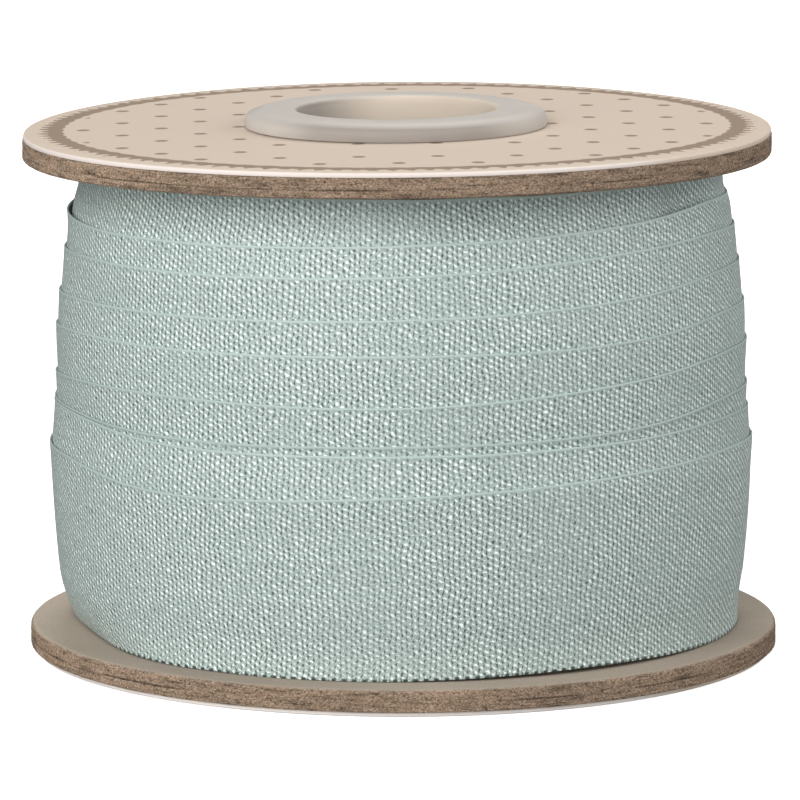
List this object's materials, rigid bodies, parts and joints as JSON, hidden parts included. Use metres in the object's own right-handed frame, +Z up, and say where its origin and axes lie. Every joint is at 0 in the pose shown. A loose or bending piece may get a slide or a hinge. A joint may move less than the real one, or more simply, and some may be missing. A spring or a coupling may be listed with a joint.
{
  "type": "roll of ribbon",
  "caption": "Plain woven mint ribbon wound in overlapping turns on a spool with round greyboard flanges, printed paper labels and a collared plastic hub.",
  "frame": {"origin": "centre of the spool's underside, on the hub's axis, on the surface it stands on", "axes": "+Z up along the hub's axis towards the collar; the ribbon's lapped edges rise to the right seen from -Y, the pictured side"},
  "size_m": [0.0624, 0.062, 0.045],
  "materials": {
    "ribbon_weave": "plain woven ribbon in mint green, slight sheen",
    "greyboard": "die-cut greyboard, fibrous brown-grey cut edge",
    "label_card": "uncoated beige card printed with taupe dots and a fringed band, white cut edge",
    "milky_plastic": "milky translucent polypropylene, satin gloss"
  },
  "bodies": {
    "root": {"ribbon_roll": "ribbon_weave", "upper_board": "greyboard", "lower_board": "greyboard", "upper_label": "label_card", "lower_label": "label_card", "hub": "milky_plastic"}
  },
  "joints": []
}
